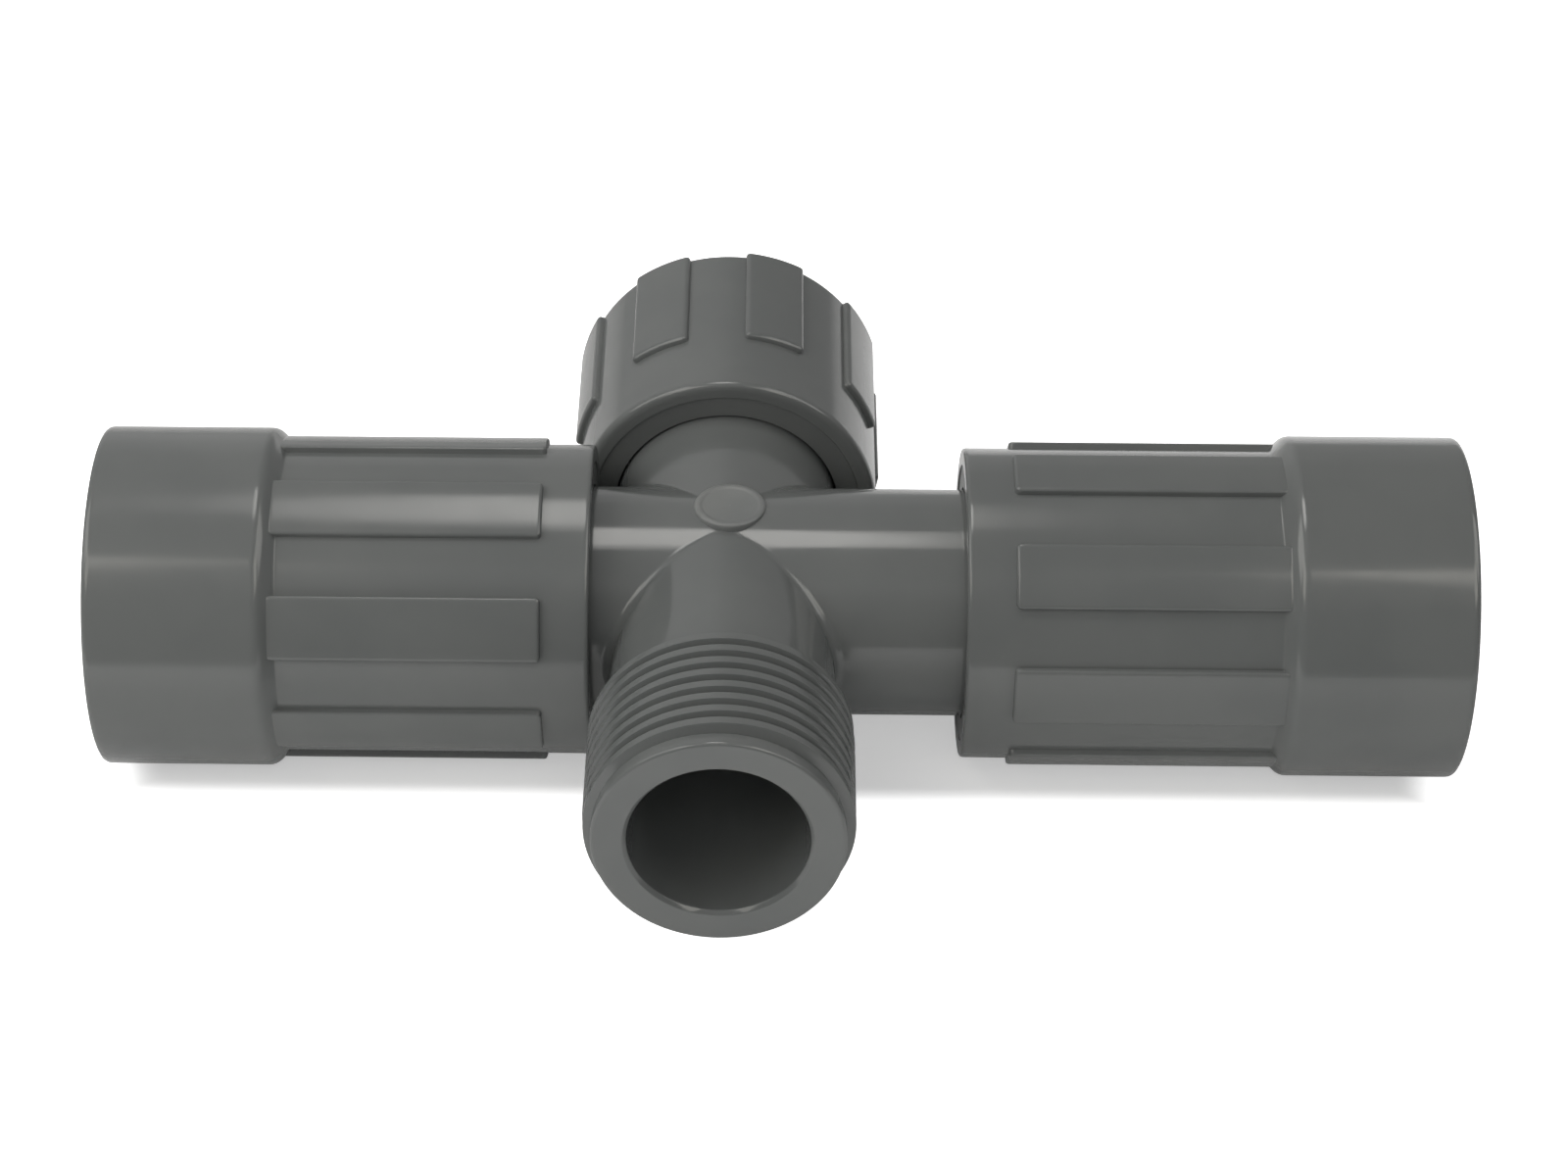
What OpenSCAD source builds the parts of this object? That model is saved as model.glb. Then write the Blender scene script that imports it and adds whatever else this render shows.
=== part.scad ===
// Irrigation cross fitting: a moulded cross with one male thread,
// two telescopic threaded sleeves and a swivel nut.
// The waterways cross at the origin. The sleeves run along X,
// the male thread points to -Y and the swivel nut to +Y.

/* [Cross body] */
// outside diameter of the run tubes and of the back tube
tube_d = 29.3; // [28.6:0.1:29.4]
// diameter of the waterway in all four branches
bore_d = 22.3; // [18:0.1:22.6]
// length of each run tube, from the centre to its end
run_len = 48; // [46:0.5:52]
// length of the front branch, from the centre to its end
front_len = 48; // [46:0.5:56]
// front branch diameter where it leaves the body
neck_root_d = 27.8; // [26:0.1:28.4]
// front branch diameter where the thread starts
neck_end_d = 28.8; // [28:0.1:29.6]
// outside diameter of the male thread
male_d = 33.2; // [32.6:0.1:34]
// length of the male thread and its pilot
male_len = 20.5; // [17:0.1:22]
// diameter of the plain pilot in front of the male thread
pilot_d = 31.2; // [30.6:0.1:32]
// length of the plain pilot in front of the male thread
pilot_len = 1.8; // [0.6:0.1:2]
// distance from one thread ridge to the next
pitch = 2.309; // [1.8:0.001:2.6]
// height of a thread ridge
ridge_h = 1.46; // [1.2:0.01:1.5]
// width of a ridge's flat crest
crest_w = 0.42; // [0.3:0.01:0.6]
// width of the chamfer at the mouth of the front waterway
mouth_chamfer = 0.5; // [0.3:0.1:1.2]
// diameter of the bare round boss on top
boss_d = 9.2; // [6:0.1:12]
// rise of the boss over the run tube
boss_rise = 0.35; // [0.2:0.05:1]
// sideways place of the boss
boss_x = 0.7; // [-2:0.1:2]
// place of the boss towards the back
boss_y = 0.6; // [-1:0.1:1.5]

/* [Tube ends] */
// step from a run tube up to its piston head, or from the back tube up to its collar
head_step = 1.2; // [1:0.05:1.3]
// length of the piston head on a run tube
head_len = 8; // [7:0.2:9]
// length of the collar on the back tube
collar_len = 3; // [2:0.1:3.6]
// chamfer on the end of a head or collar
head_chamfer = 0.6; // [0.2:0.1:1]
// thickness of the sealing ring's cord
cord_d = 2.6; // [2:0.1:2.8]
// play between the sealing ring and the sides of its groove
cord_play = 0.3; // [0.1:0.05:0.5]
// height of the sealing ring over the piston head
cord_proud = 0.12; // [0.05:0.01:0.2]
// thickness of the flat gasket on the back tube
gasket_t = 2; // [1.5:0.1:3]
// outside diameter of the flat gasket
gasket_d = 29.6; // [28:0.1:30]
// distance from the waterway to the edge of the gasket's hole
gasket_bore_play = 0.35; // [0.2:0.05:0.8]

/* [Retaining rings] */
// play between a retaining ring and the tube
ring_play = 0.35; // [0.2:0.05:0.5]
// thickness of a retaining ring, from its hole to its outside
ring_t = 3.7; // [3.2:0.1:3.9]
// width of a retaining ring along the tube
ring_w = 2.6; // [2:0.1:3]
// width of the slit that lets a retaining ring close up
ring_slit = 1.6; // [1:0.1:3]
// play between a retaining ring and its groove, along and around
groove_play = 0.3; // [0.2:0.05:0.4]
// distance from the end of a sleeve or nut back to the face of its retaining ring
nose_in = 0.2; // [0.1:0.05:0.6]

/* [Sleeves and nut] */
// play round a piston head in the smooth chamber of a sleeve
head_play = 0.45; // [0.42:0.01:0.6]
// height of the lip beside a retaining ring, over the floor of the ring's groove
lip_h = 0.9; // [0.7:0.1:1.2]
// width of the lip along the sleeve
lip_w = 1.6; // [1.2:0.1:2.2]
// distance from the lip's opening to the plain wall
rim_w = 1.95; // [1.8:0.05:2.6]
// rise of a grip pad over the wall
pad_rise = 0.83; // [0.4:0.01:1]
// angle covered by one grip pad
pad_angle = 23.4; // [16:0.2:28]
// number of grip pads round a sleeve or nut
pad_count = 8; // [6:1:10]
// play between the crests of a male thread and the root of a female one
thread_play = 0.1; // [0.05:0.05:0.4]
// width of the lead-in chamfer at a threaded mouth
lead_in = 0.9; // [0.4:0.1:1.2]
// rounding of the outside edges at the threaded mouths
edge_round = 0.8; // [0.3:0.1:1]
// rounding of the outside edge at the inner end of a sleeve
rim_round = 0.5; // [0.3:0.1:0.8]
// rounding of the outside edge at the inner end of the nut
nut_round = 1; // [0.3:0.1:1.4]

/* [Long sleeves] */
// length of a sleeve
sleeve_len = 63.4; // [60:0.2:68]
// plain length at the inner end of a sleeve
sleeve_plain = 6; // [4:0.1:9]
// distance from a sleeve's inner end to its thick collar
collar_from = 41.7; // [40:0.1:44]
// step from the plain wall up to the thick collar
collar_step = 1.9; // [1.4:0.05:2.6]
// distance from a sleeve's inner end to its inside shoulder
shoulder_from = 38.8; // [36:0.2:40]
// thickness of the inside shoulder
shoulder_t = 2.2; // [1.4:0.1:3]
// diameter of the opening in the inside shoulder
shoulder_d = 26; // [24:0.2:28]
// place of the left sleeve's inner end
left_at = 16.8; // [16.8:0.1:34]
// distance that the right sleeve is pushed in from its outermost place
right_in = 4.9; // [0.1:0.1:18.6]
// turn of the left sleeve, from a pad on top towards the front
left_turn = 19; // [0:1:45]
// turn of the right sleeve, from a pad on top towards the front
right_turn = 43; // [0:1:45]

/* [Back swivel nut] */
// length of the swivel nut
nut_len = 31.7; // [30:0.1:36]
// plain length at the inner end of the swivel nut
nut_plain = 11; // [7:0.1:14]
// distance from the nut's inner end to its thread
nut_thread_from = 12.6; // [12.4:0.1:14]
// gap between the swivel nut's inner end and the wall of a long sleeve
nut_gap = 0.25; // [0.2:0.05:1]
// distance that the swivel nut is pushed in from its outermost place
nut_in = 1.2; // [0.3:0.1:2]
// turn of the swivel nut, from a pad on top towards +X
nut_turn = 18; // [0:1:45]

/* [Colours] */
// moulded plastic
grey = [0.41, 0.42, 0.41]; // colour
// sealing rubber
black = [0.07, 0.07, 0.07]; // colour

/* [Hidden] */
round_fn = 128;
cord_fn = 48;
over = 1;
sunk = 0.4;
touch = 0.02;
head_d = tube_d + 2 * head_step;
gasket_bore_d = bore_d + 2 * gasket_bore_play;
cord_groove_w = cord_d + 2 * cord_play;
cord_groove_r = head_d / 2 + cord_proud - cord_d;
ring_id = tube_d + 2 * ring_play;
ring_od = ring_id + 2 * ring_t;
groove_to = lip_w + ring_w + 2 * groove_play;
groove_d = ring_od + 2 * groove_play;
ring_off = lip_w + groove_play;
ring_end = ring_off + ring_w;
lip_d = groove_d - 2 * lip_h;
nose_r = lip_d / 2 - groove_play;
chamber_d = head_d + 2 * head_play;
female_d = male_d + 2 * thread_play;
thread_land = 0.3;
wall_d = max(lip_d + 2 * rim_w, female_d + 2 * (lead_in + edge_round + thread_land));
collar_d = wall_d + 2 * collar_step;
right_at = run_len - head_len - ring_end - right_in;
nut_at = wall_d / 2 + nut_gap;
back_len = nut_at + nut_in + ring_end + collar_len;
thread_from = shoulder_from + shoulder_t;
edge_soft = edge_round * 0.293;
rim_steps = 3;
pad_slope = 0.4;
pad_end_gap = 0.1;
ridge_gap = 0.33;
ridge_w = pitch - ridge_gap;
ridge_count = floor((male_len - pilot_len) / pitch);
root_r = male_d / 2 - ridge_h;

// turns the Z axis of its children to +X
module to_right() {
  rotate([0, 90, 0])
    children();
}

// turns the Z axis of its children to +Y
module to_back() {
  rotate([-90, 0, 0])
    children();
}

module bar(d, z0, z1) {
  translate([0, 0, z0])
    cylinder(d = d, h = z1 - z0, $fn = round_fn);
}

// a plain round end with its edge broken
module ended_bar(d, z0, z1, edge) {
  bar(d, z0, z1 - edge);
  translate([0, 0, z1 - edge])
    cylinder(d1 = d, d2 = d - 2 * edge, h = edge, $fn = round_fn);
}

module run_arm() {
  bar(tube_d, 0, run_len - head_len + over);
  difference() {
    ended_bar(head_d, run_len - head_len, run_len, head_chamfer);
    cord_groove();
  }
}

// the groove that holds the sealing ring, in the middle of the piston head
module cord_groove() {
  mid = run_len - head_len / 2;
  difference() {
    bar(head_d + 2 * over, mid - cord_groove_w / 2, mid + cord_groove_w / 2);
    bar(2 * cord_groove_r, mid - cord_groove_w, mid + cord_groove_w);
  }
}

module back_arm() {
  bar(tube_d, 0, back_len - collar_len + over);
  ended_bar(head_d, back_len - collar_len, back_len, head_chamfer);
}

// profile points of one ridge of the male thread, round its middle z
function ridge(z) = [
  [root_r, z - ridge_w / 2],
  [male_d / 2, z - crest_w / 2],
  [male_d / 2, z + crest_w / 2],
  [root_r, z + ridge_w / 2]];

// neck, thread ridges and pilot as one turned profile; the waterway is bored out later
module front_arm() {
  thread_start = front_len - male_len;
  pilot_start = front_len - pilot_len;
  pilot_step = max(0, pilot_d / 2 - root_r) / 2;
  last_foot = thread_start + ridge_count * pitch - ridge_gap / 2;
  rotate_extrude($fn = round_fn)
    polygon(concat(
      [[bore_d / 4, 0], [neck_root_d / 2, 0], [neck_end_d / 2, thread_start]],
      [for (i = [0 : ridge_count - 1]) each ridge(thread_start + (i + 0.5) * pitch)],
      [[root_r, max(last_foot + touch, pilot_start - pilot_step)]],
      [[pilot_d / 2, pilot_start], [pilot_d / 2, front_len], [bore_d / 4, front_len]]));
}

module boss() {
  translate([boss_x, boss_y, (tube_d + bore_d) / 4])
    cylinder(d = boss_d, h = tube_d / 2 + boss_rise - (tube_d + bore_d) / 4, $fn = round_fn);
}

module cross_body() {
  color(grey)
    difference() {
      union() {
        to_right()
          run_arm();
        mirror([1, 0, 0])
          to_right()
            run_arm();
        to_back()
          back_arm();
        mirror([0, 1, 0])
          to_back()
            front_arm();
        boss();
      }
      to_right()
        bar(bore_d, -run_len - over, run_len + over);
      to_back()
        bar(bore_d, -front_len - over, back_len + over);
      translate([0, -front_len - sunk, 0])
        to_back()
          cylinder(d1 = bore_d + 2 * (mouth_chamfer + sunk), d2 = bore_d,
            h = mouth_chamfer + sunk, $fn = round_fn);
    }
}

// the sealing ring of a run tube
module seal() {
  translate([0, 0, run_len - head_len / 2])
    rotate_extrude($fn = round_fn)
      translate([cord_groove_r + cord_d / 2 + touch, 0])
        circle(d = cord_d - touch, $fn = cord_fn);
}

module seal_right() {
  color(black)
    to_right()
      seal();
}

module seal_left() {
  color(black)
    mirror([1, 0, 0])
      to_right()
        seal();
}

module gasket_back() {
  color(black)
    to_back()
      difference() {
        bar(gasket_d, back_len, back_len + gasket_t);
        bar(gasket_bore_d, back_len - over, back_len + gasket_t + over);
      }
}

// a split ring that rides on the tube, at its place in a sleeve or nut
// its nose fills the lip's opening
module ring() {
  difference() {
    rotate_extrude($fn = round_fn)
      polygon([
        [ring_id / 2, nose_in],
        [nose_r, nose_in],
        [nose_r, ring_off],
        [ring_od / 2, ring_off],
        [ring_od / 2, ring_end],
        [ring_id / 2, ring_end]]);
    translate([0, -ring_slit / 2, 0])
      cube([ring_od, ring_slit, ring_end + over]);
  }
}

module ring_right() {
  color(grey)
    translate([right_at, 0, 0])
      to_right()
        ring();
}

module ring_left() {
  color(grey)
    translate([-left_at, 0, 0])
      mirror([1, 0, 0])
        to_right()
          ring();
}

module ring_back() {
  color(grey)
    translate([0, nut_at, 0])
      to_back()
        ring();
}

// one grip pad, centred on +X, that ends inside the shoulder or at the end face
module pad(z0, z1, top) {
  inner = wall_d / 2 - sunk;
  outer = wall_d / 2 + pad_rise;
  foot = z0 - pad_slope * sunk / pad_rise;
  rotate([0, 0, -pad_angle / 2])
    rotate_extrude(angle = pad_angle, $fn = round_fn)
      polygon([[inner, foot], [outer, z0 + pad_slope], [outer, z1 - top], [outer - top, z1], [inner, z1]]);
}

module pads(z0, z1, top) {
  for (i = [0 : pad_count - 1])
    rotate([0, 0, i * 360 / pad_count])
      pad(z0, z1, top);
}

// profile points of an inner end: ring groove, lip and a rim rounded by the given size
function inner_end(rounding) = [
  [chamber_d / 2, groove_to],
  [groove_d / 2, groove_to],
  [groove_d / 2, lip_w],
  [lip_d / 2, lip_w],
  [lip_d / 2, 0],
  for (i = [0 : rim_steps])
    let (turn = 90 * i / rim_steps)
      [wall_d / 2 - rounding * (1 - sin(turn)), rounding * (1 - cos(turn))]];

// profile points of a threaded mouth, drawn at the root of its thread, with the outside edge of its end
function mouth(d, z0, z1) = [
  [d / 2, z1 - edge_round],
  [d / 2 - edge_soft, z1 - edge_soft],
  [d / 2 - edge_round, z1],
  [female_d / 2 + lead_in, z1],
  [female_d / 2, z1 - lead_in],
  [female_d / 2, z0]];

module sleeve() {
  rotate_extrude($fn = round_fn)
    polygon(concat(
      inner_end(rim_round),
      [[wall_d / 2, collar_from - collar_step], [collar_d / 2, collar_from]],
      mouth(collar_d, thread_from, sleeve_len),
      [[shoulder_d / 2, thread_from], [shoulder_d / 2, shoulder_from], [chamber_d / 2, shoulder_from]]));
  pads(sleeve_plain, collar_from - collar_step + pad_rise + sunk, 0);
}

module sleeve_right() {
  color(grey)
    translate([right_at, 0, 0])
      rotate([right_turn, 0, 0])
        to_right()
          rotate([0, 0, 180])
            sleeve();
}

module sleeve_left() {
  color(grey)
    translate([-left_at, 0, 0])
      mirror([1, 0, 0])
        rotate([left_turn, 0, 0])
          to_right()
            rotate([0, 0, 180])
              sleeve();
}

module nut_back() {
  color(grey)
    translate([0, nut_at, 0])
      rotate([0, nut_turn, 0])
        to_back()
          rotate([0, 0, -90]) {
            rotate_extrude($fn = round_fn)
              polygon(concat(
                inner_end(nut_round),
                mouth(wall_d, nut_thread_from, nut_len),
                [[chamber_d / 2, nut_thread_from]]));
            pads(nut_plain, nut_len - pad_end_gap, edge_round / 2);
          }
}

cross_body();
seal_left();
seal_right();
gasket_back();
ring_left();
ring_right();
ring_back();
sleeve_left();
sleeve_right();
nut_back();
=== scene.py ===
import math

import bmesh
import bpy
import numpy as np
from mathutils import Matrix, Vector


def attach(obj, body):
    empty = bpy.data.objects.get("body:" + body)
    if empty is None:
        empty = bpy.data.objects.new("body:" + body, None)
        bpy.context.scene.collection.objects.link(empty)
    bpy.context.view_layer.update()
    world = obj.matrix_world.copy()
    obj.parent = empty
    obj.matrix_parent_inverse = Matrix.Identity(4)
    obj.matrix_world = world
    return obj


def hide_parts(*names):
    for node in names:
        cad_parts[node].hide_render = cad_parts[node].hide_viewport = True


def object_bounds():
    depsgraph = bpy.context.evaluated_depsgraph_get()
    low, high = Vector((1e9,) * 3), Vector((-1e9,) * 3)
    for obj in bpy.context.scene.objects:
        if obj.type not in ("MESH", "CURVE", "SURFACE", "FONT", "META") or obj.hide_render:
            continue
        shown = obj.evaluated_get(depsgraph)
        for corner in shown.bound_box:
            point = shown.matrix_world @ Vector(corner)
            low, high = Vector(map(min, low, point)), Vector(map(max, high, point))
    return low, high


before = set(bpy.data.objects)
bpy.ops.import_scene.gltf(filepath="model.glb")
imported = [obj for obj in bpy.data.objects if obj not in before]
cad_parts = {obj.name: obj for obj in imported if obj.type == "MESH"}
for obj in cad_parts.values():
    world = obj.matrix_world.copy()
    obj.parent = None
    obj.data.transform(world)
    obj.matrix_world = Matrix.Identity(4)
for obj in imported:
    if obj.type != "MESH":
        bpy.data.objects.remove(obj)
cad_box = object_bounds()

MM = 0.001

# Sizes of the mouldings in millimetres, the same as in the part's source.
TUBE_R = 14.65
BORE_R = 11.15
RUN_LEN = 48.0
BACK_LEN = 29.0
FRONT_LEN = 48.0
NECK_ROOT_R = 13.9
NECK_END_R = 14.4
THREAD_ROOT_R = 15.14
CREST_R = 16.6
PITCH = 2.309
PILOT_LEN = 1.8
HEAD_R = 15.85
HEAD_LEN = 8.0
SEAL_GROOVE_R = 13.37
SEAL_GROOVE_W = 3.2
COLLAR_LEN = 3.0
MOUTH_CHAMFER = 0.5
BOSS_X = 0.7
BOSS_Y = 0.6
BOSS_R = 4.6
BOSS_TOP = TUBE_R + 0.35
WALL_R = 20.05
PAD_RISE = 0.83
PAD_ANGLE = 23.4
PADS = 8
CHAMBER_R = 16.3
FEMALE_R = 16.7
LEAD_IN = 0.9
RING_GROOVE_R = 19.0
RING_GROOVE = (1.6, 4.8)
THICK_R = 21.95
SLEEVE_LEN = 63.4
SLEEVE_PLAIN = 6.0
SHOULDER_FROM = 38.8
SLEEVE_THREAD = 41.0
SHOULDER_R = 13.0
NUT_LEN = 31.7
NUT_PLAIN = 11.0
NUT_THREAD = 12.6
LEFT_AT = 16.8
RIGHT_AT = 30.6
NUT_AT = 20.3
LEFT_TURN = 19.0
RIGHT_TURN = 43.0
NUT_TURN = 18.0
EDGE = 0.8
RIM_EDGE = 0.5

# Sizes in millimetres that follow the photo, a little away from the part's source.
NECK_LEN = 27.4
PILOT_R = 15.5
LIP_R = 17.86
THICK_FROM = 41.3
NUT_RIM_EDGE = 2.2

# Sizes in millimetres that the part's source doesn't have.
ROOT_FILLET = 1.3
ARM_JOIN = 23.0
BACK_JOIN = 21.5
BOSS_FOOT = 12.6
BOSS_CORE = 0.05
MALE_BEGIN = NECK_LEN + 0.05
BRACE_REACH = 0.25
THREAD_WIDTH = 2.25
THREAD_SUNK = 0.15
THREAD_SET_IN = 1.6
PAD_CORNER = 0.6
PAD_SUNK = 0.5
SLEEVE_PAD_EDGE = 0.45
SLEEVE_PAD_STOP = 0.75
NUT_PAD_EDGE = 0.75
NUT_PAD_STOP = 0.15

# Points across, along and through a pad, and across a thread ridge.
PAD_GRID = (37, 61, 2)
RIDGE_POINTS = 13

# Turns of the thread ridges, and shares of a turn or of a ridge's width.
MALE_TURNS = 8.0
SLEEVE_TURNS = 8.4
NUT_TURNS = 7.0
FADE_TURNS = 0.35
FLANK_SHARE = 0.27
STEPS_PER_TURN = 110


# Camera: the photograph's viewpoint, worked out from the round outlines.
CAMERA_PLACE = Vector((0.005419, -0.394740, 0.302511))
CAMERA_AIM = Vector((-0.006665, -0.000122, 0.0))
CAMERA_ROLL = math.radians(-0.5175)


def make_camera():
    data = bpy.data.cameras.new("photo_camera")
    data.sensor_width = 36.0
    data.lens = 87.85
    data.shift_x = 0.0708
    data.shift_y = 0.0079
    data.clip_start = 0.01
    data.clip_end = 20.0
    camera = bpy.data.objects.new("photo_camera", data)
    ahead = (CAMERA_AIM - CAMERA_PLACE).normalized()
    level = ahead.cross(Vector((0, 0, 1))).normalized()
    upright = level.cross(ahead)
    side = level * math.cos(CAMERA_ROLL) + upright * math.sin(CAMERA_ROLL)
    up = side.cross(ahead)
    turn = Matrix((side, up, -ahead)).transposed()
    camera.matrix_world = Matrix.Translation(CAMERA_PLACE) @ turn.to_4x4()
    bpy.context.scene.collection.objects.link(camera)
    bpy.context.scene.camera = camera


make_camera()


# Shader effects shared by the materials.
def add_sockets(tree, inputs, outputs):
    for name, kind, value in inputs:
        socket = tree.interface.new_socket(name=name, in_out="INPUT", socket_type=kind)
        if value is not None:
            socket.default_value = value
    for name, kind in outputs:
        tree.interface.new_socket(name=name, in_out="OUTPUT", socket_type=kind)


def join(tree, start, end):
    tree.links.new(start, end)


def feed(tree, part, socket):
    """Joins a node's result to a socket, or gives the socket a fixed value."""
    if hasattr(part, "links"):
        join(tree, part, socket)
    else:
        socket.default_value = part


def noise_node(tree, vector, scale, detail=2.0, roughness=0.5):
    node = tree.nodes.new("ShaderNodeTexNoise")
    node.inputs["Detail"].default_value = detail
    node.inputs["Roughness"].default_value = roughness
    node.inputs["Scale"].default_value = scale
    join(tree, vector, node.inputs["Vector"])
    return node.outputs["Fac"]


def range_node(tree, value, low, high, to_low, to_high):
    """Turns the range from low to high softly into the range from to_low to to_high."""
    node = tree.nodes.new("ShaderNodeMapRange")
    node.interpolation_type = "SMOOTHSTEP"
    node.inputs["From Min"].default_value = low
    node.inputs["From Max"].default_value = high
    node.inputs["To Min"].default_value = to_low
    node.inputs["To Max"].default_value = to_high
    join(tree, value, node.inputs["Value"])
    return node.outputs["Result"]


def mix_colour(tree, factor, first, second, blend="MIX"):
    node = tree.nodes.new("ShaderNodeMix")
    node.data_type = "RGBA"
    node.blend_type = blend
    feed(tree, factor, node.inputs[0])
    feed(tree, first, node.inputs[6])
    feed(tree, second, node.inputs[7])
    return node.outputs[2]


def maths(tree, operation, first, second=0.0, clamp=False):
    node = tree.nodes.new("ShaderNodeMath")
    node.operation = operation
    node.use_clamp = clamp
    feed(tree, first, node.inputs[0])
    feed(tree, second, node.inputs[1])
    return node.outputs[0]


# The moulded surface: its patterns in repeats to the metre, its tints, and the height of its orange peel.
CLOUDS = 55.0
PATCHES = 95.0
WAVES = 140.0
STREAKS = 190.0
MARKS = 620.0
PEEL = 900.0
LIGHTER = (1.22, 1.21, 1.19, 1)
DARKER = (0.84, 0.85, 0.86, 1)
SCUFFED = (0.42, 0.42, 0.4, 1)
PEEL_HEIGHT = 0.0001


def moulded_surface_group():
    """Cloudy colour, fine orange peel and small pale scuffs, as on a moulded fitting from a stock bin."""
    tree = bpy.data.node_groups.new("moulded_surface", "ShaderNodeTree")
    add_sockets(
        tree,
        [
            ("Vector", "NodeSocketVector", None),
            ("Colour", "NodeSocketColor", (0.15, 0.155, 0.15, 1)),
            ("Cloudiness", "NodeSocketFloat", 0.1),
            ("Gloss", "NodeSocketFloat", 0.4),
            ("Peel depth", "NodeSocketFloat", 0.1),
            ("Scuffs", "NodeSocketFloat", 0.3),
        ],
        [("Colour", "NodeSocketColor"), ("Roughness", "NodeSocketFloat"), ("Normal", "NodeSocketVector")],
    )
    start = tree.nodes.new("NodeGroupInput")
    end = tree.nodes.new("NodeGroupOutput")
    place = start.outputs["Vector"]
    clouds = noise_node(tree, place, CLOUDS, 3.0, 0.55)
    lighter = mix_colour(tree, 1.0, start.outputs["Colour"], LIGHTER, "MULTIPLY")
    darker = mix_colour(tree, 1.0, start.outputs["Colour"], DARKER, "MULTIPLY")
    blend = range_node(tree, clouds, 0.32, 0.68, 0.0, 1.0)
    cloudy = mix_colour(tree, blend, darker, lighter)
    tinted = mix_colour(tree, start.outputs["Cloudiness"], start.outputs["Colour"], cloudy)
    marks = noise_node(tree, place, MARKS, 2.0, 0.6)
    patches = noise_node(tree, place, PATCHES, 1.0, 0.5)
    marked = range_node(tree, marks, 0.7, 0.78, 0.0, 1.0)
    patchy = range_node(tree, patches, 0.55, 0.75, 0.0, 1.0)
    mask = maths(tree, "MULTIPLY", marked, patchy)
    mask = maths(tree, "MULTIPLY", mask, start.outputs["Scuffs"], clamp=True)
    scuffed = mix_colour(tree, mask, tinted, SCUFFED)
    streaks = noise_node(tree, place, STREAKS, 4.0, 0.6)
    rough = maths(tree, "ADD", start.outputs["Gloss"], range_node(tree, streaks, 0.3, 0.7, -0.02, 0.03))
    rough = maths(tree, "ADD", rough, maths(tree, "MULTIPLY", mask, 0.2), clamp=True)
    peel = noise_node(tree, place, PEEL, 3.0, 0.5)
    waves = noise_node(tree, place, WAVES, 1.0, 0.4)
    relief = maths(tree, "ADD", maths(tree, "MULTIPLY", peel, 0.35), waves)
    bump = tree.nodes.new("ShaderNodeBump")
    bump.inputs["Distance"].default_value = PEEL_HEIGHT
    join(tree, start.outputs["Peel depth"], bump.inputs["Strength"])
    join(tree, relief, bump.inputs["Height"])
    join(tree, scuffed, end.inputs["Colour"])
    join(tree, rough, end.inputs["Roughness"])
    join(tree, bump.outputs["Normal"], end.inputs["Normal"])
    return tree


MOULDED = moulded_surface_group()


def moulded_material(name, colour, cloudiness, gloss, peel, scuffs, offset, ior=1.5):
    material = bpy.data.materials.new(name)
    material.use_nodes = True
    tree = material.node_tree
    tree.nodes.clear()
    out = tree.nodes.new("ShaderNodeOutputMaterial")
    shader = tree.nodes.new("ShaderNodeBsdfPrincipled")
    shader.inputs["IOR"].default_value = ior
    place = tree.nodes.new("ShaderNodeTexCoord")
    shift = tree.nodes.new("ShaderNodeMapping")
    shift.inputs["Location"].default_value = offset
    join(tree, place.outputs["Object"], shift.inputs["Vector"])
    surface = tree.nodes.new("ShaderNodeGroup")
    surface.node_tree = MOULDED
    surface.inputs["Colour"].default_value = (*colour, 1)
    surface.inputs["Cloudiness"].default_value = cloudiness
    surface.inputs["Gloss"].default_value = gloss
    surface.inputs["Peel depth"].default_value = peel
    surface.inputs["Scuffs"].default_value = scuffs
    join(tree, shift.outputs["Vector"], surface.inputs["Vector"])
    join(tree, surface.outputs["Colour"], shader.inputs["Base Color"])
    join(tree, surface.outputs["Roughness"], shader.inputs["Roughness"])
    join(tree, surface.outputs["Normal"], shader.inputs["Normal"])
    join(tree, shader.outputs["BSDF"], out.inputs["Surface"])
    return material


# Finishes: colour, cloudiness, roughness, peel, scuffs, place in the pattern, refractive index.
GREY = (0.128, 0.134, 0.131)
PALE_GREY = (0.163, 0.169, 0.165)
RING_GREY = (0.118, 0.123, 0.120)
BLACK = (0.018, 0.018, 0.019)
cross_finish = moulded_material("grey_moulding_cross", GREY, 0.25, 0.12, 0.03, 0.03, (0.0, 0.0, 0.0))
boss_finish = moulded_material("grey_moulding_boss", PALE_GREY, 0.6, 0.42, 0.6, 0.05, (0.21, 0.11, 0.37))
left_finish = moulded_material("grey_moulding_left", GREY, 0.25, 0.15, 0.03, 0.03, (0.31, 0.12, 0.07), 1.47)
right_finish = moulded_material("grey_moulding_right", GREY, 0.25, 0.13, 0.03, 0.03, (0.67, 0.41, 0.23))
nut_finish = moulded_material("grey_moulding_nut", GREY, 0.25, 0.14, 0.03, 0.03, (0.13, 0.77, 0.51))
ring_finish = moulded_material("grey_ring", RING_GREY, 0.25, 0.3, 0.06, 0.04, (0.4, 0.2, 0.9))
rubber_finish = moulded_material("black_seal_rubber", BLACK, 0.6, 0.55, 0.5, 0.15, (0.2, 0.6, 0.1), 1.52)


# How fine the meshes are, and the angle in degrees from which an edge counts as sharp.
LATHE_SIDES = 192
HALF_ARM_SIDES = 84
BLEND_ROWS = 34
END_ROWS = 8
ROUND_STEPS = 4
HALVINGS = 46
SHARP_ANGLE = 34.0

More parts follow.
